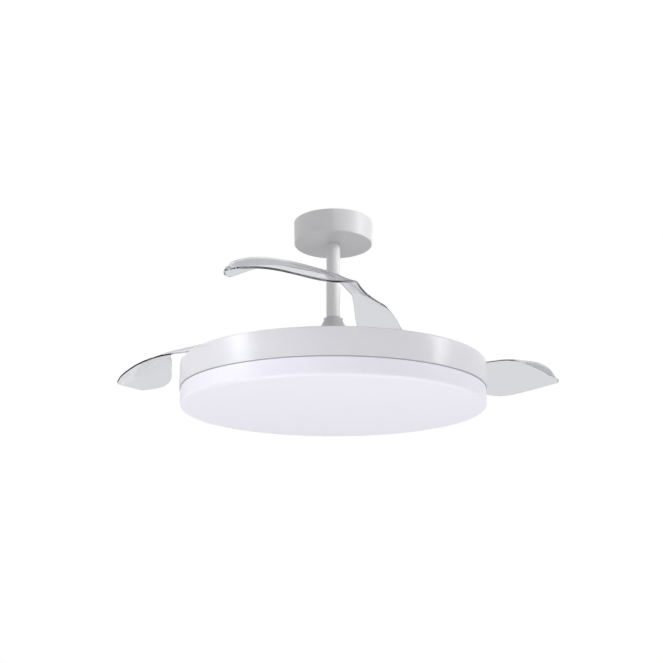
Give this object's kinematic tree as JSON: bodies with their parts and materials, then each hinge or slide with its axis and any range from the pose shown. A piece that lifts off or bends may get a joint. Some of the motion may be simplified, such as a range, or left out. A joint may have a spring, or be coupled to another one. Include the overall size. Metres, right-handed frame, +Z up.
{
  "type": "retractable blade ceiling fan",
  "caption": "Ceiling fan with clear folding blades over a flat drum light, on a short rod with a small round canopy",
  "frame": {"origin": "centre of the fan's axis on the ceiling plane, the top of the ceiling bracket", "axes": "+Z up along the rod, +X along the bracket's line of slots and to the right in the picture, +Y away from the viewer"},
  "size_m": [0.8189, 0.7108, 0.3275],
  "materials": {
    "white_metal": "satin white paint",
    "zinc_steel": "zinc plated sheet",
    "bright_steel": "plain bright steel",
    "brass_screw": "plain brass",
    "cream_nylon": "moulded",
    "black_nylon": "moulded",
    "white_plastic": "moulded",
    "stator_steel": "stacked sheet",
    "copper_wire": "enamelled copper wire",
    "magnet": "ferrite",
    "clear_acrylic": "clear grey, polished",
    "light_board": "white solder mask",
    "opal_acrylic": "opal, softly glossy"
  },
  "bodies": {
    "ceiling_mount": {"ceiling_bracket": "zinc_steel", "terminal_block": "cream_nylon", "earth_screw": "brass_screw"},
    "ball_seat": {"ball_liner": "cream_nylon"},
    "suspension": {"hanger_ball": "black_nylon", "hanger_pin": "bright_steel", "downrod": "white_metal", "coupling": "zinc_steel", "coupling_pin": "bright_steel", "coupling_clip": "bright_steel", "motor_shaft": "bright_steel", "stator_core": "stator_steel", "stator_windings": "copper_wire", "lower_bearing": "bright_steel", "upper_bearing": "bright_steel", "chassis_plate": "white_metal", "shaft_nut": "bright_steel", "rim": "white_metal", "rim_screws": "bright_steel", "light_pan": "white_metal", "pan_spacers": "bright_steel", "led_board": "light_board", "led_driver": "white_plastic", "receiver_box": "black_nylon", "cover_catches": "zinc_steel"},
    "canopy_set": {"canopy": "white_metal", "canopy_ring": "white_plastic"},
    "rod_cover_set": {"rod_cover": "white_metal", "rod_cover_screws": "bright_steel"},
    "rotor": {"motor_bottom_cover": "white_metal", "motor_top_cover": "white_metal", "magnet_ring": "magnet", "motor_screws": "bright_steel", "blade_carrier": "white_metal", "carrier_screws": "bright_steel", "pivot_pins": "bright_steel", "return_springs": "bright_steel"},
    "diffuser": {"light_cover": "opal_acrylic"},
    "blade_set_1": {"blade_1": "clear_acrylic", "blade_clamp_1": "white_plastic", "clamp_plate_1": "white_plastic", "clamp_screws_1": "bright_steel", "pivot_bush_1": "cream_nylon"},
    "blade_set_2": {"blade_2": "clear_acrylic", "blade_clamp_2": "white_plastic", "clamp_plate_2": "white_plastic", "clamp_screws_2": "bright_steel", "pivot_bush_2": "cream_nylon"},
    "blade_set_3": {"blade_3": "clear_acrylic", "blade_clamp_3": "white_plastic", "clamp_plate_3": "white_plastic", "clamp_screws_3": "bright_steel", "pivot_bush_3": "cream_nylon"}
  },
  "joints": [
    {"name": "hang_tilt_x", "type": "hinge", "parent": "ceiling_mount", "child": "ball_seat", "pos_m": [0, 0, -0.0195], "axis": [1, 0, 0], "range_deg": [-2, 2]},
    {"name": "hang_tilt_y", "type": "hinge", "parent": "ball_seat", "child": "suspension", "pos_m": [0, 0, -0.0195], "axis": [0, 1, 0], "range_deg": [-2, 2]},
    {"name": "canopy_drop", "type": "slide", "parent": "suspension", "child": "canopy_set", "axis": [0, 0, -1], "range_m": [0, 0.06]},
    {"name": "rod_cover_lift", "type": "slide", "parent": "suspension", "child": "rod_cover_set", "axis": [0, 0, 1], "range_m": [0, 0.05]},
    {"name": "rotor_spin", "type": "hinge", "parent": "suspension", "child": "rotor", "pos_m": [0, 0, -0.24], "axis": [0, 0, 1], "continuous": true},
    {"name": "light_cover_twist", "type": "hinge", "parent": "suspension", "child": "diffuser", "pos_m": [0, 0, -0.31], "axis": [0, 0, 1], "range_deg": [0, 18]},
    {"name": "blade_1_swing", "type": "hinge", "parent": "rotor", "child": "blade_set_1", "pos_m": [0.0825, -0.14289, -0.242], "axis": [0, 0, 1], "range_deg": [-71, 23]},
    {"name": "blade_2_swing", "type": "hinge", "parent": "rotor", "child": "blade_set_2", "pos_m": [-0.165, 0, -0.242], "axis": [0, 0, 1], "range_deg": [-86, 8]},
    {"name": "blade_3_swing", "type": "hinge", "parent": "rotor", "child": "blade_set_3", "pos_m": [0.0825, 0.14289, -0.242], "axis": [0, 0, 1], "range_deg": [-91, 3]}
  ]
}
